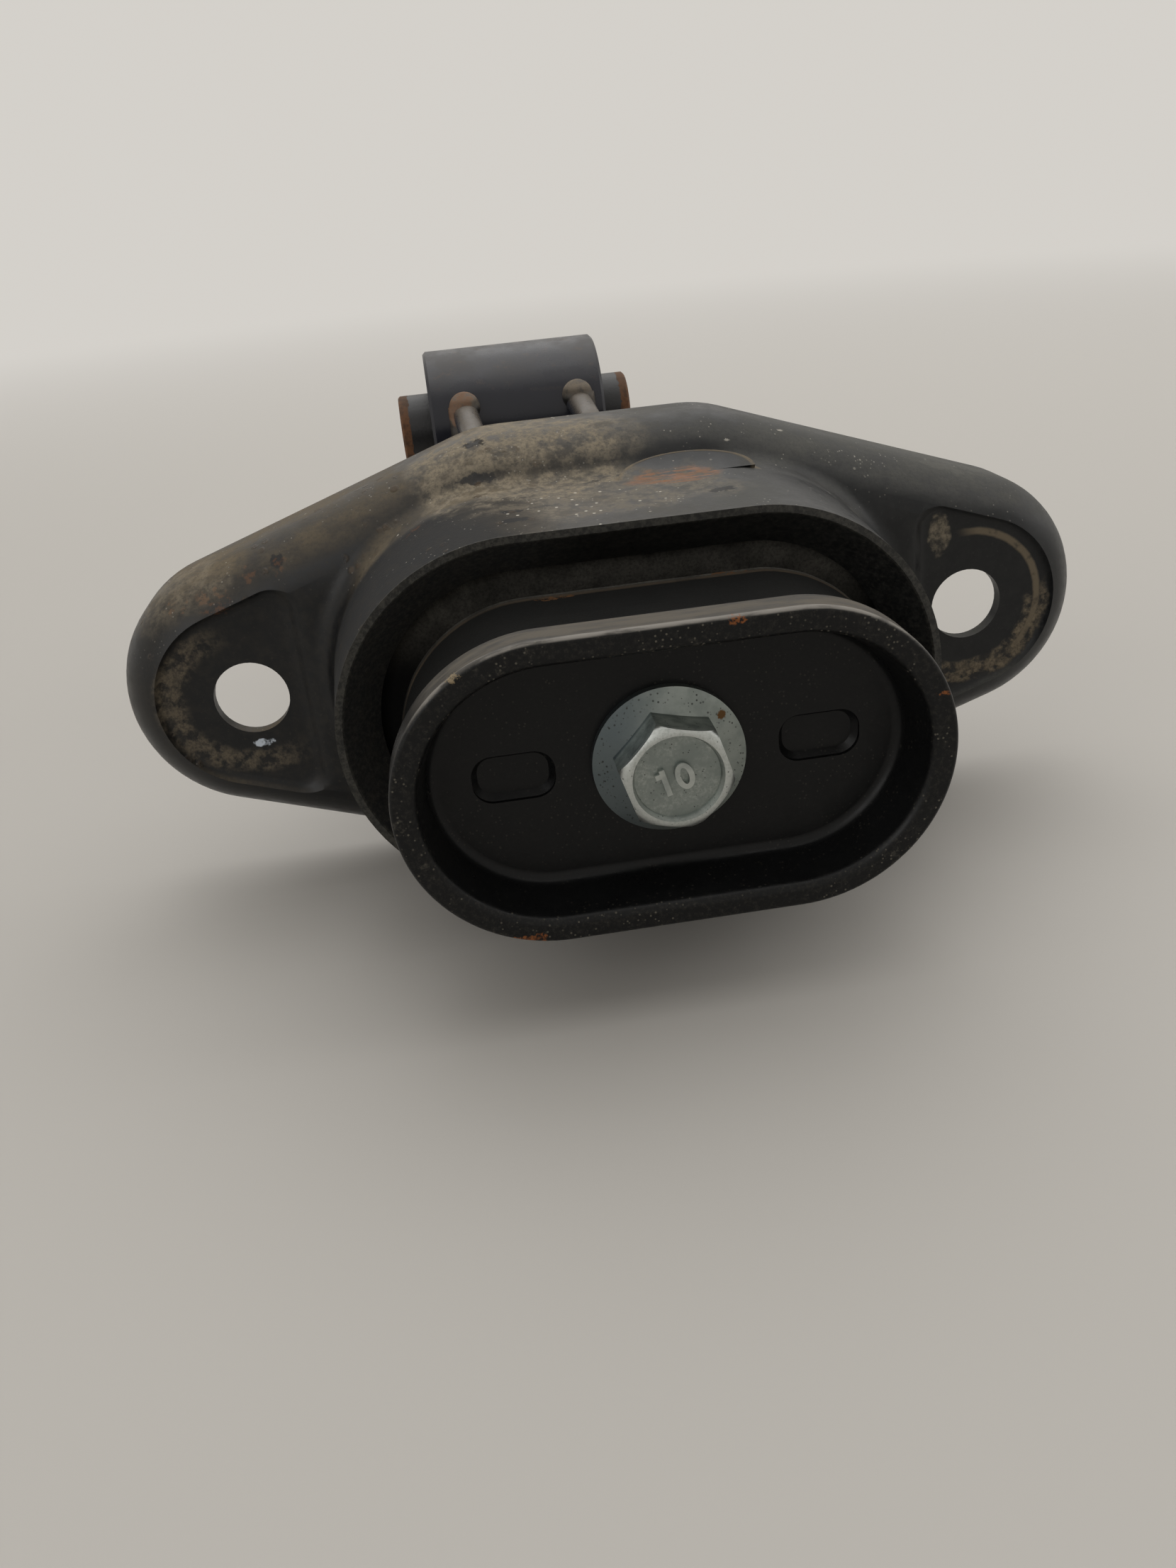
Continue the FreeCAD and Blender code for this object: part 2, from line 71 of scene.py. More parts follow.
class Graph:
    """Short calls for building one material's nodes."""

    def __init__(self, name: str) -> None:
        """Start an empty material with a Principled shader.

        Args:
            name: Name of the material.
        """
        self.material = bpy.data.materials.new(name)
        self.material.use_nodes = True
        self.tree = self.material.node_tree
        self.shader = self.tree.nodes["Principled BSDF"]
        coords = self.tree.nodes.new("ShaderNodeTexCoord")
        self.place = coords.outputs["Object"]

    def node(self, kind: str, **settings: object) -> bpy.types.Node:
        """Add a node.

        Args:
            kind: The node's type name.
            **settings: Properties set on the node.

        Returns:
            The new node.
        """
        made = self.tree.nodes.new(kind)
        for key, value in settings.items():
            setattr(made, key, value)
        return made

    def feed(self, socket: bpy.types.NodeSocket, source: object) -> None:
        """Link a socket to an output, or set its value.

        Args:
            socket: The input socket.
            source: An output socket, a number or a tuple.
        """
        if isinstance(source, bpy.types.NodeSocket):
            self.tree.links.new(source, socket)
        elif isinstance(source, tuple) and len(source) == 3 and socket.type == "RGBA":
            socket.default_value = (*source, 1.0)
        else:
            socket.default_value = source

    def math(
        self, operation: str, first: object, second: object = 0.0, clamp: bool = False,
    ) -> bpy.types.NodeSocket:
        """Combine two values.

        Args:
            operation: Name of the math operation.
            first: Value or output.
            second: Value or output.
            clamp: Whether to keep the result between 0 and 1.

        Returns:
            The result's output.
        """
        made = self.node("ShaderNodeMath", operation=operation, use_clamp=clamp)
        self.feed(made.inputs[0], first)
        self.feed(made.inputs[1], second)
        return made.outputs[0]

    def step(
        self, value: object, low: float, high: float, start: float = 0.0, end: float = 1.0,
    ) -> bpy.types.NodeSocket:
        """Map a range smoothly onto another.

        Args:
            value: Output to map.
            low: Value that becomes start.
            high: Value that becomes end.
            start: Result at low.
            end: Result at high.

        Returns:
            The mapped output.
        """
        made = self.node("ShaderNodeMapRange", interpolation_type="SMOOTHSTEP")
        for key, number in (
            ("Value", value), ("From Min", low), ("From Max", high), ("To Min", start), ("To Max", end),
        ):
            self.feed(made.inputs[key], number)
        return made.outputs["Result"]

    def noise(
        self, size_mm: float, detail: float = 4.0, rough: float = 0.55, stretch: Point = (1, 1, 1),
    ) -> bpy.types.NodeSocket:
        """Cloudy noise at a real size.

        Args:
            size_mm: Size of one blotch in millimetres.
            detail: Octaves of detail.
            rough: Strength of the fine octaves.
            stretch: Scale of the pattern along X, Y and Z.

        Returns:
            The noise value.
        """
        made = self.node("ShaderNodeTexNoise")
        spread = self.node("ShaderNodeMapping")
        self.feed(spread.inputs["Vector"], self.place)
        spread.inputs["Scale"].default_value = stretch
        self.feed(made.inputs["Vector"], spread.outputs["Vector"])
        made.inputs["Scale"].default_value = 1.0 / (size_mm * MM)
        made.inputs["Detail"].default_value = detail
        made.inputs["Roughness"].default_value = rough
        return made.outputs["Fac"]

    def specks(self, spacing_mm: float, low: float, high: float) -> bpy.types.NodeSocket:
        """Small separate specks.

        Args:
            spacing_mm: Distance between specks.
            low: Inner limit of a speck, as a share of the spacing.
            high: Outer limit of a speck.

        Returns:
            A mask of 1 on the specks.
        """
        cells = self.node("ShaderNodeTexVoronoi", feature="F1")
        self.feed(cells.inputs["Vector"], self.place)
        cells.inputs["Scale"].default_value = 1.0 / (spacing_mm * MM)
        return self.step(cells.outputs["Distance"], low, high, 1.0, 0.0)

    def facing(self, way: Facing, low: float, high: float) -> bpy.types.NodeSocket:
        """How much the surface faces one way.

        Args:
            way: The way to face.
            low: Share of facing that gives 0.
            high: Share of facing that gives 1.

        Returns:
            A mask.
        """
        geometry = self.node("ShaderNodeNewGeometry")
        parts = self.node("ShaderNodeSeparateXYZ")
        self.feed(parts.inputs[0], geometry.outputs["Normal"])
        if way is Facing.UP:
            return self.step(parts.outputs["Z"], low, high)
        forward = self.math("MULTIPLY", parts.outputs["Y"], -1.0)
        return self.step(forward, low, high)

    def axis(self, name: str) -> bpy.types.NodeSocket:
        """Place along one axis in metres.

        Args:
            name: X, Y or Z.

        Returns:
            The coordinate.
        """
        parts = self.node("ShaderNodeSeparateXYZ")
        self.feed(parts.inputs[0], self.place)
        return parts.outputs[name]

    def spot(
        self, centre: Point, radius: float, ragged: float = 0.35, squash: Point = (1, 1, 1),
    ) -> bpy.types.NodeSocket:
        """A ragged blot about a point.

        Args:
            centre: Middle of the blot in millimetres.
            radius: Its radius in millimetres.
            ragged: How far its edge wanders, as a share of the radius.
            squash: Factors that shrink the blot along X, Y and Z.

        Returns:
            A mask of 1 inside.
        """
        shift = self.node("ShaderNodeVectorMath", operation="SUBTRACT")
        self.feed(shift.inputs[0], self.place)
        shift.inputs[1].default_value = tuple(c * MM for c in centre)
        scale = self.node("ShaderNodeVectorMath", operation="MULTIPLY")
        self.feed(scale.inputs[0], shift.outputs[0])
        scale.inputs[1].default_value = squash
        length = self.node("ShaderNodeVectorMath", operation="LENGTH")
        self.feed(length.inputs[0], scale.outputs[0])
        wander = self.math(
            "MULTIPLY", self.math("SUBTRACT", self.noise(radius * 0.6, 3.0), 0.5), radius * ragged * 2 * MM,
        )
        distance = self.math("ADD", length.outputs["Value"], wander)
        return self.step(distance, radius * 0.7 * MM, radius * MM, 1.0, 0.0)

    def most(self, masks: Sequence[bpy.types.NodeSocket]) -> bpy.types.NodeSocket:
        """The strongest of several masks.

        Args:
            masks: The masks.

        Returns:
            Their maximum.
        """
        total = masks[0]
        for mask in masks[1:]:
            total = self.math("MAXIMUM", total, mask)
        return total

    def times(self, *masks: object) -> bpy.types.NodeSocket:
        """Product of several masks or numbers.

        Args:
            *masks: The masks.

        Returns:
            Their product.
        """
        total = masks[0]
        for mask in masks[1:]:
            total = self.math("MULTIPLY", total, mask)
        return total

    def less(self, mask: object, taken: object) -> bpy.types.NodeSocket:
        """A mask with another one taken out.

        Args:
            mask: The mask.
            taken: The mask that is taken out.

        Returns:
            What is left.
        """
        return self.math("MULTIPLY", mask, self.math("SUBTRACT", 1.0, taken))

    def offset(self, centre: Point) -> tuple[bpy.types.NodeSocket, bpy.types.NodeSocket]:
        """Place across and up from an axis that runs along Y.

        Args:
            centre: A point of the axis in millimetres.

        Returns:
            Offsets along X and Z in metres.
        """
        across = self.math("SUBTRACT", self.axis("X"), centre[0] * MM)
        up = self.math("SUBTRACT", self.axis("Z"), centre[2] * MM)
        return across, up

    def round_about(
        self, centre: Point, wander_mm: float, blotch_mm: float, squash: tuple[float, float] = (1.0, 1.0),
    ) -> bpy.types.NodeSocket:
        """Distance from an axis along Y, with a wandering edge.

        Args:
            centre: A point of the axis in millimetres.
            wander_mm: How far the edge wanders.
            blotch_mm: Length of one bay of the edge.
            squash: Factors along X and Z.

        Returns:
            The distance in metres.
        """
        across, up = self.offset(centre)
        across, up = self.math("MULTIPLY", across, squash[0]), self.math("MULTIPLY", up, squash[1])
        square = self.math("ADD", self.math("MULTIPLY", across, across), self.math("MULTIPLY", up, up))
        wander = self.math(
            "MULTIPLY", self.math("SUBTRACT", self.noise(blotch_mm, 3.0), 0.5), 2 * wander_mm * MM,
        )
        return self.math("ADD", self.math("SQRT", square), wander)

    def towards(self, centre: Point, degrees: float, low: float, high: float) -> bpy.types.NodeSocket:
        """How far a place lies on one side of an axis along Y.

        Args:
            centre: A point of the axis in millimetres.
            degrees: The side, counted from +X towards +Z.
            low: Millimetres to that side that give 0.
            high: Millimetres that give 1.

        Returns:
            A mask.
        """
        across, up = self.offset(centre)
        turn = math.radians(degrees)
        reach = self.math(
            "ADD", self.math("MULTIPLY", across, math.cos(turn)), self.math("MULTIPLY", up, math.sin(turn)),
        )
        return self.step(reach, low * MM, high * MM)

    def band(self, value: object, low: float, high: float, soft: float) -> bpy.types.NodeSocket:
        """1 between two limits.

        Args:
            value: The value.
            low: Lower limit.
            high: Upper limit.
            soft: Width of the soft edges.

        Returns:
            A mask.
        """
        return self.times(self.step(value, low - soft, low), self.step(value, high, high + soft, 1.0, 0.0))

    def blend(self, under: object, over: object, mask: object) -> bpy.types.NodeSocket:
        """Lay one colour over another.

        Args:
            under: Colour where the mask is 0.
            over: Colour where the mask is 1.
            mask: The mask.

        Returns:
            The mixed colour.
        """
        made = self.node("ShaderNodeMix", data_type="RGBA")
        self.feed(made.inputs["Factor"], mask)
        self.feed(made.inputs["A"], under)
        self.feed(made.inputs["B"], over)
        return made.outputs["Result"]

    def blend_value(self, under: object, over: object, mask: object) -> bpy.types.NodeSocket:
        """Mix two numbers.

        Args:
            under: Value where the mask is 0.
            over: Value where the mask is 1.
            mask: The mask.

        Returns:
            The mixed value.
        """
        made = self.node("ShaderNodeMix", data_type="FLOAT")
        self.feed(made.inputs["Factor"], mask)
        self.feed(made.inputs["A"], under)
        self.feed(made.inputs["B"], over)
        return made.outputs["Result"]

    def relief(self, height: object, depth_mm: float, strength: float = 1.0) -> None:
        """Give the surface fine relief.

        Args:
            height: Height output, 0 to 1.
            depth_mm: Height of 1 in millimetres.
            strength: Strength of the bump.
        """
        bump = self.node("ShaderNodeBump")
        bump.inputs["Strength"].default_value = strength
        bump.inputs["Distance"].default_value = depth_mm * MM
        self.feed(bump.inputs["Height"], height)
        self.feed(self.shader.inputs["Normal"], bump.outputs["Normal"])

    def finish(self, colour: object, rough: object, metal: object = 0.0) -> bpy.types.Material:
        """Connect the main channels.

        Args:
            colour: Base colour.
            rough: Roughness.
            metal: Metallic.

        Returns:
            The material.
        """
        self.feed(self.shader.inputs["Base Color"], colour)
        self.feed(self.shader.inputs["Roughness"], rough)
        self.feed(self.shader.inputs["Metallic"], metal)
        return self.material


@dataclass(frozen=True)
class BracketFinish:
    """Black dip coat under road dust, with scuffs, rust and cleaned washer zones, a painted glint below the
    left hole and a worn lip edge that is partly a painted highlight.
    """

    coat: Rgb = (0.006, 0.0066, 0.0075)
    brown_film: Rgb = (0.175, 0.140, 0.092)
    grey_film: Rgb = (0.120, 0.118, 0.106)
    thick_dust: Rgb = (0.31, 0.262, 0.19)
    mud: Rgb = (0.225, 0.182, 0.125)
    rust: Rgb = (0.25, 0.100, 0.034)
    lip_grit_and_highlight: Rgb = (0.105, 0.100, 0.085)
    clod: Rgb = (0.065, 0.045, 0.028)
    fleck: Rgb = (0.62, 0.58, 0.50)
    painted_glint: Rgb = (0.62, 0.68, 0.76)
    ear_x: float = 75.0
    collar_top: float = 36.0
    rib_x: float = 15.2
    rib_y: float = -10.5
    rib_half: float = 13.2
    rib_reach: float = 5.5
    lip_y: float = -36.4

    def build(self) -> bpy.types.Material:
        """Make the material.

        Returns:
            The bracket's material.
        """
        g = Graph("bracket_coat")
        grit = g.noise(0.8, 5.0, 0.7)
        grain = g.noise(2.6, 5.0, 0.62)
        film = self.film(g, grit, grain)
        left = g.step(g.axis("X"), 0.024, -0.026)
        tone = g.blend(self.grey_film, self.brown_film, left)
        colour = g.blend(self.coat, tone, film)
        thick = self.thick(g, grit, grain)
        colour = g.blend(colour, self.thick_dust, thick)
        marks = self.dark_marks(g)
        colour = g.blend(colour, (0.007, 0.007, 0.008), marks)
        mud = self.mud_lines(g, grain)
        colour = g.blend(colour, self.mud, mud)
        colour = g.blend(colour, self.rust, self.rust_marks(g))
        colour = g.blend(colour, self.lip_grit_and_highlight, self.lip(g, grit))
        clods = g.times(
            g.specks(3.6, 0.16, 0.30), g.step(g.noise(12.0, 3.0), 0.50, 0.60),
            g.step(g.axis("X"), 0.010, -0.030),
        )
        clods = g.times(clods, g.facing(Facing.UP, 0.1, 0.6), g.step(grain, 0.40, 0.55))
        colour = g.blend(colour, self.clod, g.times(clods, 0.8))
        flecks = self.flecks(g)
        colour = g.blend(colour, self.fleck, flecks)
        # Painted glint: a small bluish-white highlight painted below the left ear's hole, where the glossy
        # coat catches the light.
        glint = g.times(g.spot((-74.4, -2.8, -9.9), 2.5, 0.9, (1.0, 1.0, 3.0)), g.step(grain, 0.35, 0.5))
        colour = g.blend(colour, self.painted_glint, glint)
        matt = g.times(g.step(g.axis("X"), -0.004, -0.022), g.step(g.axis("Y"), -0.008, -0.014), 0.7)
        dry = g.most([film, thick, mud, flecks, matt])
        sheen = g.step(grain, 0.25, 0.75, 0.30, 0.42)
        rough = g.blend_value(sheen, 0.9, g.math("MULTIPLY", dry, 1.15, clamp=True))
        height = g.math(
            "ADD", g.times(grit, g.math("ADD", g.math("MULTIPLY", dry, 0.8), 0.12)),
            g.math("MULTIPLY", mud, 0.7),
        )
        height = g.math("ADD", height, g.times(clods, 1.6))
        g.relief(height, 0.18, 0.6)
        g.shader.inputs["Specular IOR Level"].default_value = 0.30
        return g.finish(colour, rough)

    def film(self, g: Graph, grit: bpy.types.NodeSocket, grain: bpy.types.NodeSocket) -> bpy.types.NodeSocket:
        """Thin dust that lies on what faces up, more on the left.

        Args:
            g: The material's graph.
            grit: Fine noise.
            grain: Coarser noise.

        Returns:
            A mask.
        """
        cloud = g.noise(15.0, 7.0, 0.62)
        drift = g.step(cloud, 0.36, 0.62, 0.30, 1.0)
        wander = g.math("MULTIPLY", g.math("SUBTRACT", g.noise(9.0, 4.0, 0.6), 0.5), 0.030)
        place = g.math("ADD", g.axis("X"), wander)
        share = g.step(place, 0.006, -0.010, 0.70, 0.90)
        share = g.times(share, g.step(place, 0.055, 0.024, 2.0, 1.0))
        wiped = g.step(g.noise(7.0, 5.0, 0.6, (0.22, 1.0, 1.0)), 0.40, 0.58, 0.55, 1.0)
        roll = g.times(g.facing(Facing.UP, 0.36, 0.92), share, drift, wiped)
        top = g.times(
            g.facing(Facing.UP, 0.93, 0.998), drift, g.step(g.axis("X"), -0.026, -0.008, 0.10, 0.55),
        )
        on_collar = g.step(g.axis("Y"), -0.009, -0.013)
        film = g.blend_value(roll, top, on_collar)
        film = g.less(film, g.times(g.spot((15.2, -7.5, 38.0), 12.5, 0.2, (1.0, 1.7, 1.0)), 0.88))
        outer = g.times(g.step(g.axis("X"), -0.082, -0.096), drift, 0.08)
        haze = g.math(
            "MAXIMUM", g.times(g.step(grain, 0.36, 0.74), 0.06), g.times(g.step(grit, 0.56, 0.74), 0.13),
        )
        film = g.most([film, outer, haze])
        return g.times(film, g.step(grit, 0.26, 0.60, 0.50, 1.0))

    def lip(self, g: Graph, grit: bpy.types.NodeSocket) -> bpy.types.NodeSocket:
        """Grit on the sloping lip at the collar's mouth, and the lip's worn edge, whose pale line is also a
        painted highlight.

        Args:
            g: The material's graph.
            grit: Fine noise.

        Returns:
            A mask.
        """
        near = g.step(g.axis("Y"), (self.lip_y + 7.6) * MM, (self.lip_y + 7.0) * MM)
        slope = g.times(near, g.facing(Facing.FRONT, 0.45, 0.62), g.step(grit, 0.36, 0.72, 0.02, 0.24))
        # Edge: wear along the lip's front edge, lightened in part as a painted highlight on its ridge.
        edge = g.times(
            g.step(g.axis("Y"), (self.lip_y + 0.55) * MM, (self.lip_y + 0.15) * MM),
            g.step(grit, 0.40, 0.62, 0.15, 0.50),
        )
        return g.math("MAXIMUM", slope, edge)

    def thick(
        self, g: Graph, grit: bpy.types.NodeSocket, grain: bpy.types.NodeSocket,
    ) -> bpy.types.NodeSocket:
        """Pale thick dust on the crown's left half, the collar's top and beside the right pad.

        Args:
            g: The material's graph.
            grit: Fine noise.
            grain: Coarser noise.

        Returns:
            A mask.
        """
        crown = g.times(
            g.spot((-15.0, 0.0, 42.0), 21.0, 0.55, (0.85, 1.0, 1.0)), g.facing(Facing.UP, 0.42, 0.78), 0.92,
        )
        shelf = g.times(
            g.spot((0.0, -19.0, self.collar_top), 21.0, 0.6, (0.8, 1.5, 1.0)),
            g.facing(Facing.UP, 0.80, 0.99), 0.42,
        )
        ear = g.times(g.spot((-86.0, 3.0, 21.0), 13.0, 0.6), g.facing(Facing.UP, 0.35, 0.8), 0.40)
        pile = g.times(g.spot((68.6, -4.0, 15.5), 4.6, 0.5, (1.7, 1.0, 0.9)), 0.75)
        patchy = g.times(g.step(grain, 0.36, 0.60, 0.12, 1.0), g.step(grit, 0.30, 0.60, 0.30, 1.0))
        return g.times(g.most([crown, shelf, ear, pile]), patchy)

    def dark_marks(self, g: Graph) -> bpy.types.NodeSocket:
        """Places where something scraped the dust off.

        Args:
            g: The material's graph.

        Returns:
            A mask.
        """
        wiped = g.most([
            g.spot((-23.7, -3.5, 38.3), 3.4, 1.3, (0.8, 1.9, 2.8)),
            g.spot((-23.8, 3.2, 43.8), 1.7, 1.1, (0.7, 1.3, 1.0)),
            g.spot((-19.6, -22.2, 35.6), 2.9, 0.9, (1.0, 2.6, 1.0)),
            g.spot((-19.4, -27.6, 35.3), 2.9, 0.9, (1.0, 2.2, 1.0)),
            g.spot((18.6, -24.1, 35.5), 2.7, 0.9, (1.0, 1.6, 1.0)),
            g.spot((-64.8, -1.6, 27.0), 1.7, 0.7),
        ])
        return g.times(wiped, 0.88)

    def mud_lines(self, g: Graph, grain: bpy.types.NodeSocket) -> bpy.types.NodeSocket:
        """Dried mud round the zones that the washers kept clean, and on the half oval's edge.

        Args:
            g: The material's graph.
            grain: Noise that breaks the lines up.

        Returns:
            A mask.
        """
        left, right = (-self.ear_x, 0.0, 0.0), (self.ear_x, 0.0, 0.0)
        front = g.facing(Facing.FRONT, 0.15, 0.5)
        patchy = g.times(
            g.step(grain, 0.40, 0.58, 0.05, 1.0), g.step(g.noise(0.9, 4.0, 0.7), 0.34, 0.62, 0.35, 1.0),
        )
        around = g.round_about(left, 1.1, 5.0, (1.0, 1.18))
        band = g.times(
            g.band(around, 0.0150, 0.0178, 0.0024), g.towards(left, 205.0, -5.0, 6.0), patchy, 0.55,
        )
        around = g.round_about(right, 0.35, 4.0)
        foot = g.times(
            g.band(around, 0.0152, 0.0160, 0.0006), g.towards(right, 22.0, 3.0, 8.0),
            g.step(grain, 0.3, 0.5, 0.35, 1.0), 0.75,
        )
        around = g.round_about(right, 0.9, 4.0)
        crescent = g.times(
            g.band(around, 0.0136, 0.0172, 0.0010), g.towards(right, -58.0, 5.0, 10.0), patchy, 0.95,
        )
        ears = g.times(g.most([band, foot, crescent]), front)
        across = g.math("DIVIDE", g.math("SUBTRACT", g.axis("X"), self.rib_x * MM), self.rib_half * MM)
        back = g.math("DIVIDE", g.math("SUBTRACT", g.axis("Y"), self.rib_y * MM), self.rib_reach * MM)
        ring = g.math(
            "SQRT", g.math("ADD", g.math("MULTIPLY", across, across), g.math("MULTIPLY", back, back)),
        )
        line = g.times(
            g.band(ring, 0.97, 1.06, 0.05), g.step(g.axis("Y"), -0.0112, -0.0096),
            g.step(g.axis("Z"), 0.034, 0.035),
        )
        line = g.times(line, g.step(g.axis("Y"), -0.0035, -0.0045), g.step(grain, 0.3, 0.55, 0.2, 1.0), 0.75)
        return g.math("MAXIMUM", ears, line)

    def rust_marks(self, g: Graph) -> bpy.types.NodeSocket:
        """Rust streak under the half oval and small rust spots.

        Args:
            g: The material's graph.

        Returns:
            A mask.
        """
        streaks = g.noise(2.4, 5.0, 0.65, (0.6, 3.2, 1.0))
        streak = g.times(g.spot((12.4, -12.6, 36.1), 10.5, 0.5, (1.0, 2.5, 1.0)), g.step(streaks, 0.42, 0.55))
        speck = g.noise(1.6, 4.0, 0.7)
        spots = g.most([
            g.spot((-78.2, -2.6, 21.2), 3.4, 1.2), g.spot((-71.0, -2.0, 25.5), 2.6, 1.2),
            g.spot((-86.0, 0.0, 19.0), 3.2, 1.0), g.spot((-64.4, -2.4, 26.0), 2.0, 1.0),
            g.spot((-36.8, -13.8, 32.5), 2.2, 1.0),
        ])
        spots = g.times(spots, g.step(speck, 0.50, 0.60))
        return g.most([g.times(streak, 0.78), g.times(spots, 0.24)])

    def flecks(self, g: Graph) -> bpy.types.NodeSocket:
        """Pale grains on the upper side, and chips in the coat.

        Args:
            g: The material's graph.

        Returns:
            A mask.
        """
        up = g.facing(Facing.UP, 0.5, 0.9)
        where = g.math(
            "MAXIMUM", g.spot((-6.0, -24.0, 35.6), 17.0, 0.6, (0.9, 1.4, 1.0)),
            g.step(g.noise(9.0, 3.0), 0.60, 0.68),
        )
        grains = g.times(g.specks(2.1, 0.09, 0.18), g.step(g.noise(1.7, 3.0), 0.36, 0.46), where, up)
        fine = g.times(
            g.specks(1.1, 0.10, 0.18), g.step(g.noise(6.0, 3.0), 0.5, 0.62), g.facing(Facing.UP, 0.1, 0.9),
            0.45,
        )
        chips = g.times(
            g.most(
                [
                    g.spot((25.0, -2.1, 39.8), 0.38, 1.2, (0.6, 1.0, 1.3)),
                    g.spot((37.0, 2.9, 39.4), 0.40, 1.2, (0.5, 1.0, 1.3)),
                ]
            ),
            0.55,
        )
        return g.most([grains, fine, chips])


@dataclass(frozen=True)
class PlateFinish:
    """Black coat with fine specks and an edge worn pale along its top."""

    coat: Rgb = (0.0045, 0.0047, 0.005)
    dust: Rgb = (0.160, 0.140, 0.112)
    bright: Rgb = (0.33, 0.31, 0.28)
    speck: Rgb = (0.115, 0.105, 0.085)
    rust: Rgb = (0.31, 0.10, 0.026)
    front: float = -68.2
    edge: float = 6.5

    def build(self) -> bpy.types.Material:
        """Make the material.

        Returns:
            The stop plates' material.
        """
        g = Graph("plate_coat")
        grit = g.noise(0.7, 5.0, 0.7)
        grain = g.noise(3.2, 4.0, 0.6)
        forward = g.axis("Y")
        on_edge = g.step(forward, (self.front + self.edge + 0.2) * MM, (self.front + self.edge - 0.2) * MM)
        high = g.step(g.axis("Z"), 0.010, 0.022)
        streaks = g.noise(4.0, 5.0, 0.6, (0.35, 2.2, 1.0))
        dust = g.times(
            g.facing(Facing.UP, 0.45, 0.95), on_edge, high, g.step(streaks, 0.34, 0.60, 0.22, 0.72),
        )
        line = g.times(
            g.band(forward, (self.front + 0.1) * MM, (self.front + 1.0) * MM, 0.0003),
            g.facing(Facing.UP, 0.3, 0.75), high,
        )
        line = g.times(line, g.step(streaks, 0.36, 0.55, 0.12, 0.72))
        rim = g.step(forward, (self.front + 1.6) * MM, (self.front + 0.2) * MM)
        haze = g.times(g.step(grit, 0.45, 0.75), g.math("ADD", g.times(rim, 0.14), 0.025))
        specks = g.times(
            g.specks(0.9, 0.12, 0.26), g.step(g.noise(6.0, 3.0), 0.42, 0.60),
            g.math("ADD", g.times(rim, 0.75), 0.18),
        )
        wear = g.times(rim, g.step(g.noise(5.0, 4.0, 0.7), 0.60, 0.68), g.step(grit, 0.4, 0.6), 0.35)
        colour = g.blend(self.coat, self.speck, g.most([haze, specks, wear]))
        colour = g.blend(colour, self.dust, dust)
        colour = g.blend(colour, self.bright, line)
        chips = g.times(g.spot((-33.4, -67.6, 22.4), 1.04, 1.0, (0.7, 1.0, 1.3)), g.step(grit, 0.42, 0.52))
        colour = g.blend(colour, (0.26, 0.20, 0.12), chips)
        marks = g.most([
            g.spot((10.2, -67.9, 25.9), 1.2, 1.2, (0.8, 1.0, 1.6)), g.spot(
                (-28.0, -67.9, -25.4), 2.2, 1.2, (0.6, 1.0, 1.6),
            ),
            g.spot((43.6, -68.2, 9.1), 0.9, 1.2, (0.7, 1.0, 2.2)),
        ])
        colour = g.blend(colour, self.rust, g.times(marks, g.step(grit, 0.40, 0.55), 0.7))
        rough = g.blend_value(g.step(grain, 0.25, 0.75, 0.26, 0.40), 0.85, g.most([dust, line, specks]))
        g.relief(g.math("ADD", grit, g.times(specks, 0.5)), 0.05, 0.5)
        g.shader.inputs["Specular IOR Level"].default_value = 0.20
        return g.finish(colour, rough)


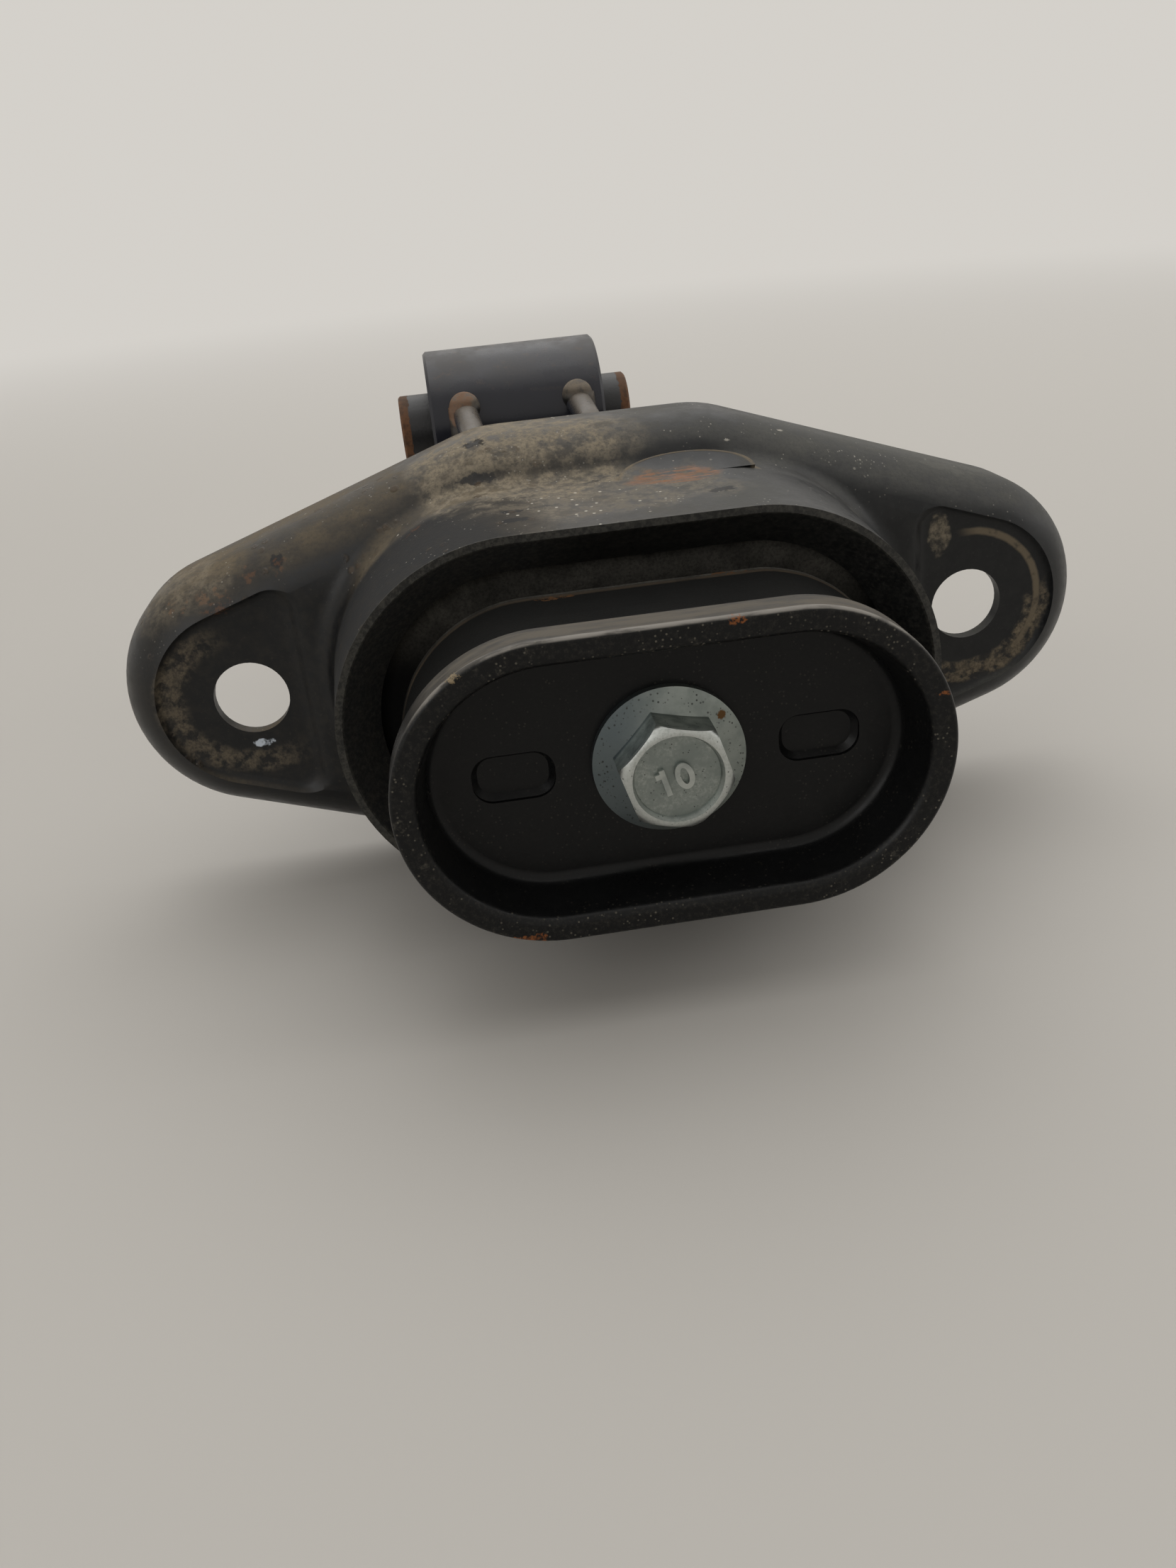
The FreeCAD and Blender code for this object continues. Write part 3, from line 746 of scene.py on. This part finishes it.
@dataclass(frozen=True)
class ZincFinish:
    """Matt grey-green zinc plating with dark specks, painted shade on the flange's left, and painted light
    and shade about the head's raised digits.
    """

    zinc: Rgb = (0.41, 0.435, 0.405)
    dull: Rgb = (0.20, 0.225, 0.21)
    worn: Rgb = (0.50, 0.52, 0.50)
    painted_shade: Rgb = (0.085, 0.105, 0.115)
    speck: Rgb = (0.03, 0.03, 0.028)
    stain: Rgb = (0.10, 0.052, 0.02)
    flange_front: float = -59.2
    head_front: float = -67.1
    mark_front: float = -66.65

    def build(self) -> bpy.types.Material:
        """Make the material.

        Returns:
            The bolt's material.
        """
        g = Graph("zinc_plating")
        cloud = g.noise(4.2, 5.0, 0.62)
        fine = g.noise(0.45, 4.0, 0.65)
        axis = (0.0, 0.0, 0.0)
        around = g.round_about(axis, 0.5, 3.0)
        colour = g.blend(self.zinc, self.dull, g.step(cloud, 0.36, 0.66))
        flange = g.step(g.axis("Y"), (self.flange_front - 2.6) * MM, (self.flange_front - 1.6) * MM)
        colour = g.blend(colour, self.dull, g.times(flange, 0.75))
        # Painted shade: the flange's left side is darkened.
        colour = g.blend(colour, self.painted_shade, g.times(flange, g.step(g.axis("X"), 0.003, -0.009), 0.85))
        shoulder = g.times(
            g.band(g.axis("Y"), (self.head_front - 0.1) * MM, (self.head_front + 0.9) * MM, 0.0003),
            g.step(fine, 0.3, 0.6, 0.35, 0.9),
        )
        colour = g.blend(colour, self.worn, g.times(shoulder, g.step(around, 0.0070, 0.0076)))
        within = g.times(
            g.step(around, 0.0076, 0.0070),
            g.step(g.axis("Y"), (self.head_front + 3.0) * MM, (self.head_front + 2.0) * MM),
        )
        # Painted light and shade round the raised digits: the recess floor is darkened as painted shade and
        # some dirt; the digit tops are lightened as painted highlight and some wear.
        floor = g.times(
            within, g.step(g.axis("Y"), (self.mark_front + 0.35) * MM, (self.mark_front + 0.60) * MM),
        )
        marks = g.times(
            within, g.step(g.axis("Y"), (self.mark_front + 0.25) * MM, (self.mark_front + 0.02) * MM),
        )
        colour = g.blend(colour, self.dull, g.times(floor, g.step(fine, 0.3, 0.6, 0.45, 0.9)))
        colour = g.blend(colour, self.worn, g.times(marks, 0.30))
        ring = g.times(
            g.band(around, 0.0103, 0.0122, 0.0006), g.specks(0.75, 0.16, 0.30),
            g.step(g.noise(4.0, 3.0), 0.44, 0.56),
        )
        pitted = g.times(g.specks(0.7, 0.10, 0.22), g.step(g.noise(2.6, 3.0), 0.46, 0.58))
        colour = g.blend(colour, self.speck, g.times(g.math("MAXIMUM", ring, pitted), 0.85))
        colour = g.blend(colour, self.stain, g.spot((9.0, -59.7, 7.0), 0.9, 0.6))
        rough = g.step(cloud, 0.3, 0.7, 0.30, 0.43)
        g.relief(g.math("ADD", fine, g.times(pitted, -0.6)), 0.035, 0.55)
        return g.finish(colour, rough, 0.85)


@dataclass(frozen=True)
class RubberFinish:
    """Dull rubber, greyer where dust lies on top, painted lighter on upper front faces behind the ridge and
    kept dark as painted shade in front of it, with a painted highlight and brown cracks along its ridge.
    """

    name: str = "cushion_rubber"
    rubber: Rgb = (0.0065, 0.0066, 0.0064)
    # Dust colour, also used as painted light on the upper front faces.
    dust: Rgb = (0.105, 0.099, 0.086)
    # Ridge colour: a brown line that also serves as a painted highlight along the crest.
    ridge: Rgb = (0.050, 0.039, 0.028)
    crack: Rgb = (0.090, 0.046, 0.022)
    dust_and_light: float = 0.85
    ridge_y: float = -39.6
    cracks: tuple[Point, ...] = ((-15.0, -40.2, 24.3), (15.5, -38.9, 24.5))

    def build(self) -> bpy.types.Material:
        """Make the material.

        Returns:
            The rubber's material.
        """
        g = Graph(self.name)
        cloud = g.noise(7.0, 5.0, 0.6)
        fine = g.noise(0.5, 4.0, 0.7)
        # Painted shade: in front of the ridge the rubber is kept dark, standing for the shade on its forward
        # slope; behind it dust and painted light may lie.
        lit_behind_ridge = g.step(g.axis("Y"), (self.ridge_y - 0.3) * MM, (self.ridge_y + 0.3) * MM, 0.04, 1.0)
        patchy = g.times(g.step(cloud, 0.25, 0.7, 0.35, 1.0), g.step(fine, 0.25, 0.65, 0.4, 1.0))
        dust = g.times(g.facing(Facing.UP, 0.25, 0.98), lit_behind_ridge, patchy, self.dust_and_light)
        # Painted light: upper front-facing rubber behind the ridge gets the dust colour so that it reads as
        # lit, though the collar shades it.
        face = g.times(
            g.facing(Facing.FRONT, 0.6, 0.95), g.step(g.axis("Z"), 0.008, 0.020), lit_behind_ridge, patchy, self.dust_and_light,
        )
        # Painted highlight: a thin pale-brown band along the ridge's up-facing crest, partly a brown line on
        # the rubber.
        ridge = g.times(
            g.band(g.axis("Y"), (self.ridge_y - 0.25) * MM, (self.ridge_y + 0.35) * MM, 0.0004),
            g.facing(Facing.UP, -0.2, 0.6),
        )
        colour = g.blend(self.rubber, self.dust, g.math("MAXIMUM", dust, face))
        colour = g.blend(colour, self.ridge, g.times(ridge, g.step(cloud, 0.3, 0.6, 0.3, 0.9)))
        if self.cracks:
            torn = g.most([g.spot(place, 2.4, 1.2, (0.7, 2.8, 1.0)) for place in self.cracks])
            colour = g.blend(colour, self.crack, g.times(torn, g.step(g.noise(1.2, 4.0, 0.7), 0.46, 0.56)))
        rough = g.step(fine, 0.2, 0.8, 0.74, 0.92)
        g.relief(g.math("ADD", g.times(fine, 0.25), g.math("ADD", g.times(cloud, 0.2), ridge)), 0.30, 0.6)
        g.shader.inputs["Specular IOR Level"].default_value = 0.06
        return g.finish(colour, rough)


@dataclass(frozen=True)
class LinkFinish:
    """Glossy black coat of the link and its eye, with a bluish painted sheen in its colour, dusty on top."""

    # The coat's raised, bluish tint is a painted sheen standing in for the bluish reflection along the tube.
    coat: Rgb = (0.020, 0.021, 0.028)
    film: Rgb = (0.105, 0.096, 0.084)
    scrape: Rgb = (0.13, 0.085, 0.052)
    arm_dust: Rgb = (0.15, 0.125, 0.095)

    def build(self) -> bpy.types.Material:
        """Make the material.

        Returns:
            The link's material.
        """
        g = Graph("link_coat")
        cloud = g.noise(10.0, 5.0, 0.6)
        fine = g.noise(0.8, 4.0, 0.65)
        film = g.times(
            g.facing(Facing.UP, 0.45, 0.99), g.step(cloud, 0.34, 0.62, 0.10, 0.50),
            g.step(fine, 0.2, 0.6, 0.5, 1.0),
        )
        smear = g.times(
            g.facing(Facing.UP, 0.3, 0.9), g.step(g.noise(5.0, 5.0, 0.7, (1.0, 1.0, 2.0)), 0.56, 0.68), 0.30,
        )
        colour = g.blend(self.coat, self.film, film)
        colour = g.blend(colour, self.scrape, smear)
        on_arm = g.times(
            g.step(g.axis("Y"), 0.119, 0.117), g.facing(Facing.UP, 0.15, 0.8),
            g.step(fine, 0.3, 0.6, 0.55, 1.0),
        )
        colour = g.blend(colour, self.arm_dust, g.times(on_arm, 0.75))
        rough = g.blend_value(g.step(cloud, 0.3, 0.7, 0.20, 0.30), 0.85, g.most([film, smear]))
        g.relief(fine, 0.04, 0.35)
        g.shader.inputs["Specular IOR Level"].default_value = 0.38
        return g.finish(colour, rough)


@dataclass(frozen=True)
class SleeveFinish:
    """Black coat over the sleeve with bare ends turned to rust."""

    coat: Rgb = (0.010, 0.010, 0.011)
    rust: Rgb = (0.165, 0.075, 0.034)
    brown: Rgb = (0.085, 0.042, 0.022)
    dust: Rgb = (0.105, 0.072, 0.050)
    middle_x: float = -6.8
    bare_from: float = 31.0

    def build(self) -> bpy.types.Material:
        """Make the material.

        Returns:
            The sleeve's material.
        """
        g = Graph("sleeve_rust")
        fine = g.noise(0.8, 5.0, 0.65)
        cloud = g.noise(2.4, 4.0, 0.62)
        away = g.math("ABSOLUTE", g.math("SUBTRACT", g.axis("X"), self.middle_x * MM))
        wander = g.math("MULTIPLY", g.math("SUBTRACT", cloud, 0.5), 0.0022)
        bare = g.step(g.math("ADD", away, wander), self.bare_from * MM, (self.bare_from + 0.4) * MM)
        tint = g.blend(self.rust, self.brown, g.step(cloud, 0.40, 0.62))
        tint = g.blend(tint, self.dust, g.times(g.facing(Facing.UP, 0.3, 0.9), 0.45))
        colour = g.blend(self.coat, tint, bare)
        rough = g.blend_value(0.42, 0.88, bare)
        g.relief(g.math("ADD", fine, g.times(bare, 0.3)), 0.10, 0.6)
        return g.finish(colour, rough)


@dataclass(frozen=True)
class WeldFinish:
    """Rippled weld bead under beige dust, one of them rusty on top."""

    coat: Rgb = (0.016, 0.015, 0.014)
    dust: Rgb = (0.19, 0.155, 0.115)
    rust: Rgb = (0.19, 0.105, 0.060)
    rusty_top: Point = (-24.0, 119.0, 35.0)

    def build(self) -> bpy.types.Material:
        """Make the material.

        Returns:
            The beads' material.
        """
        g = Graph("weld_dust")
        cloud = g.noise(2.6, 5.0, 0.62)
        fine = g.noise(0.6, 4.0, 0.65)
        dust = g.times(g.facing(Facing.UP, -0.2, 0.7), g.step(cloud, 0.30, 0.55, 0.3, 0.95))
        colour = g.blend(self.coat, self.dust, dust)
        colour = g.blend(
            colour, self.rust,
            g.times(g.spot(self.rusty_top, 6.0, 0.7), g.step(cloud, 0.36, 0.52, 0.2, 0.85)),
        )
        ripple = g.node("ShaderNodeTexWave", wave_type="BANDS", bands_direction="Z")
        g.feed(ripple.inputs["Vector"], g.place)
        ripple.inputs["Scale"].default_value = 110.0
        ripple.inputs["Distortion"].default_value = 1.4
        g.relief(g.math("ADD", ripple.outputs["Fac"], g.times(fine, 0.6)), 0.28, 0.7)
        return g.finish(colour, g.blend_value(0.5, 0.88, dust))


@dataclass(frozen=True)
class BareSteelFinish:
    """Machined steel that stays inside the mount."""

    steel: Rgb = (0.36, 0.35, 0.34)
    stain: Rgb = (0.20, 0.16, 0.13)

    def build(self) -> bpy.types.Material:
        """Make the material.

        Returns:
            The spacer's material.
        """
        g = Graph("bare_steel")
        cloud = g.noise(4.0, 4.0, 0.6)
        colour = g.blend(self.steel, self.stain, g.step(cloud, 0.45, 0.7))
        g.relief(g.noise(0.6, 3.0, 0.6), 0.03, 0.4)
        return g.finish(colour, g.step(cloud, 0.3, 0.7, 0.35, 0.55), 0.9)


@dataclass
class Dresser:
    """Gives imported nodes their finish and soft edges."""

    split_degrees: float = 32.0
    weld_mm: float = 0.004

    def dress(self, node: str, material: bpy.types.Material) -> bpy.types.Object:
        """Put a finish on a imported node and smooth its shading.

        Args:
            node: Name of the node.
            material: Its finish.

        Returns:
            The node's object.
        """
        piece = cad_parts[node]
        piece.data.materials.clear()
        piece.data.materials.append(material)
        weld = piece.modifiers.new("weld", "WELD")
        weld.merge_threshold = self.weld_mm * MM
        for polygon in piece.data.polygons:
            polygon.use_smooth = True
        split = piece.modifiers.new("split", "EDGE_SPLIT")
        split.split_angle = math.radians(self.split_degrees)
        LOG.info("dressed %s", node)
        return piece


@dataclass
class CushionSkin:
    """A rubber cushion's moulded skin, drawn over its plain solid."""

    reach_mm: float = 2.6
    rounds: int = 6
    sink_mm: float = 0.16
    wave_mm: float = 5.0
    weld_mm: float = 0.004
    split_degrees: float = 40.0

    def build(self, node: str, name: str, material: bpy.types.Material) -> bpy.types.Object:
        """Copy a cushion, refine its faces and give them a moulded unevenness.

        Args:
            node: Node of the plain cushion.
            name: Name of the new piece.
            material: Its finish.

        Returns:
            The skin's object.
        """
        mesh = bmesh.new()
        mesh.from_mesh(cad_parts[node].data)
        bmesh.ops.remove_doubles(mesh, verts=mesh.verts, dist=self.weld_mm * MM)
        for _ in range(self.rounds):
            long_edges = [edge for edge in mesh.edges if edge.calc_length() > self.reach_mm * MM]
            if not long_edges:
                break
            bmesh.ops.subdivide_edges(mesh, edges=long_edges, cuts=1)
            bmesh.ops.triangulate(mesh, faces=[face for face in mesh.faces if len(face.verts) > 3])
        mesh.normal_update()
        for vert in mesh.verts:
            wave = 0.5 + 0.5 * noise.noise(vert.co / (self.wave_mm * MM))
            vert.co -= vert.normal * max(0.0, min(1.0, wave)) * self.sink_mm * MM
        for face in mesh.faces:
            face.smooth = True
        data = bpy.data.meshes.new(name)
        mesh.to_mesh(data)
        mesh.free()
        skin = bpy.data.objects.new(name, data)
        bpy.context.scene.collection.objects.link(skin)
        data.materials.append(material)
        split = skin.modifiers.new("split", "EDGE_SPLIT")
        split.split_angle = math.radians(self.split_degrees)
        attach(skin, "root")
        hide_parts(node)
        LOG.info("built %s", name)
        return skin


@dataclass
class Studio:
    """Pale floor, soft lamps and the camera at the photograph's angle."""

    floor_half: float = 3.0
    floor_drop: float = 0.3
    floor_rough: float = 0.9
    floor_shine: float = 0.2
    floor_colour: Rgb = (0.60, 0.575, 0.535)
    backdrop: Rgb = (0.66, 0.635, 0.595)
    fade: tuple[float, float] = (0.30, 1.7)
    fill: float = 0.44
    eye: Point = (-30.59, -242.86, 86.74)
    right: Point = (0.98700, -0.13303, -0.09020)
    down: Point = (-0.13875, -0.42195, -0.89594)
    ahead: Point = (0.08113, 0.89681, -0.43492)
    focal_px: float = 1740.0
    image_height: float = 2212.0
    sensor_mm: float = 36.0
    near_clip: float = 0.005
    lamps: list[tuple[str, Point, Point, float, float]] = field(default_factory=lambda: [
        ("ceiling", (0.0, 1.1, 3.2), (0.0, 1.1, 0.0), 5.5, 52.0),
        ("back_top", (0.10, 0.75, 0.95), (0.0, 0.0, 0.0), 1.2, 3.2),
        ("strip", (-0.05, 0.10, 1.30), (0.0, 0.05, 0.0), 0.45, 0.8),
        ("front_left", (-0.85, -0.85, 0.55), (0.0, 0.0, 0.0), 0.8, 2.6),
        ("right", (0.95, 0.05, 0.60), (0.0, 0.0, 0.0), 0.8, 1.8),
    ])

    def build_floor(self) -> None:
        """Lay the floor just under the part, and fade it into the backdrop far away."""
        mesh = bmesh.new()
        bmesh.ops.create_grid(mesh, x_segments=1, y_segments=1, size=self.floor_half)
        low = CAD_BOX[0][2] - self.floor_drop * MM
        bmesh.ops.translate(mesh, verts=mesh.verts, vec=(0, 0, low))
        data = bpy.data.meshes.new("floor")
        mesh.to_mesh(data)
        mesh.free()
        floor = bpy.data.objects.new("floor", data)
        bpy.context.scene.collection.objects.link(floor)
        g = Graph("floor_paint")
        paint = g.finish(self.floor_colour, self.floor_rough)
        g.shader.inputs["Specular IOR Level"].default_value = self.floor_shine
        away = g.math(
            "SQRT",
            g.math(
                "ADD", g.math("POWER", g.math("ABSOLUTE", g.axis("X")), 2.0),
                g.math("POWER", g.math("ABSOLUTE", g.axis("Y")), 2.0),
            ),
        )
        far = g.step(away, *self.fade)
        glow = g.node("ShaderNodeEmission")
        glow.inputs["Color"].default_value = (*self.backdrop, 1)
        mixed = g.node("ShaderNodeMixShader")
        g.feed(mixed.inputs[0], far)
        g.tree.links.new(g.shader.outputs[0], mixed.inputs[1])
        g.tree.links.new(glow.outputs[0], mixed.inputs[2])
        g.tree.links.new(
            mixed.outputs[0], next(n for n in g.tree.nodes if n.type == "OUTPUT_MATERIAL").inputs["Surface"],
        )
        data.materials.append(paint)

    def build_world(self) -> None:
        """Even fill light all round, and a pale backdrop for the camera and for reflections."""
        world = bpy.data.worlds.new("studio")
        world.use_nodes = True
        tree = world.node_tree
        background = tree.nodes["Background"]
        background.inputs["Color"].default_value = (*self.backdrop, 1)
        path = tree.nodes.new("ShaderNodeLightPath")
        seen = path.outputs["Is Camera Ray"]
        for name in ("Is Glossy Ray", "Is Transmission Ray"):
            most = tree.nodes.new("ShaderNodeMath")
            most.operation = "MAXIMUM"
            tree.links.new(seen, most.inputs[0])
            tree.links.new(path.outputs[name], most.inputs[1])
            seen = most.outputs[0]
        level = tree.nodes.new("ShaderNodeMapRange")
        tree.links.new(seen, level.inputs["Value"])
        level.inputs["To Min"].default_value = self.fill
        level.inputs["To Max"].default_value = 1.0
        tree.links.new(level.outputs["Result"], background.inputs["Strength"])
        bpy.context.scene.world = world

    def build_lamps(self) -> None:
        """Hang the soft lamps and aim each at its target."""
        for name, place, target, size, power in self.lamps:
            data = bpy.data.lights.new(name, "AREA")
            data.size = size
            data.energy = power
            lamp = bpy.data.objects.new(name, data)
            bpy.context.scene.collection.objects.link(lamp)
            aim = Vector(target) - Vector(place)
            lamp.matrix_world = Matrix.Translation(place) @ aim.to_track_quat("-Z", "Y").to_matrix().to_4x4()

    def build_camera(self) -> None:
        """Place the camera that was fitted to the photograph."""
        data = bpy.data.cameras.new("camera")
        data.sensor_fit = "VERTICAL"
        data.sensor_height = self.sensor_mm
        data.lens = self.focal_px / self.image_height * data.sensor_height
        data.clip_start = self.near_clip
        camera = bpy.data.objects.new("camera", data)
        bpy.context.scene.collection.objects.link(camera)
        right, down, ahead = (Vector(v) for v in (self.right, self.down, self.ahead))
        turn = Matrix((right, -down, -ahead)).transposed().to_4x4()
        camera.matrix_world = Matrix.Translation(Vector(self.eye) * MM) @ turn
        bpy.context.scene.camera = camera

    def build(self) -> None:
        """Build the whole studio."""
        self.build_floor()
        self.build_world()
        self.build_lamps()
        self.build_camera()
        bpy.context.scene.view_settings.view_transform = "Standard"


def main() -> None:
    """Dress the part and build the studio."""
    logging.basicConfig(level=logging.INFO)
    dresser = Dresser()
    plate = PlateFinish().build()
    zinc = ZincFinish().build()
    link = LinkFinish().build()
    dresser.dress("housing_bracket", BracketFinish().build())
    dresser.dress("front_stop_plate", plate)
    dresser.dress("rear_stop_plate", plate)
    dresser.dress("flange_bolt", zinc)
    dresser.dress("weld_nut", zinc)
    rubber = RubberFinish().build()
    bush_rubber = RubberFinish("bush_rubber", dust_and_light=0.4, cracks=()).build()
    skin = CushionSkin()
    skin.build("front_cushion", "front_cushion_skin", rubber)
    skin.build("rear_cushion", "rear_cushion_skin", rubber)
    skin.build("eye_bush", "eye_bush_skin", bush_rubber)
    dresser.dress("link_arm", link)
    dresser.dress("eye_tube", link)
    dresser.dress("eye_inner_sleeve", SleeveFinish().build())
    dresser.dress("weld_beads", WeldFinish().build())
    dresser.dress("spacer_sleeve", BareSteelFinish().build())
    Studio().build()


if __name__ == "__main__":
    main()
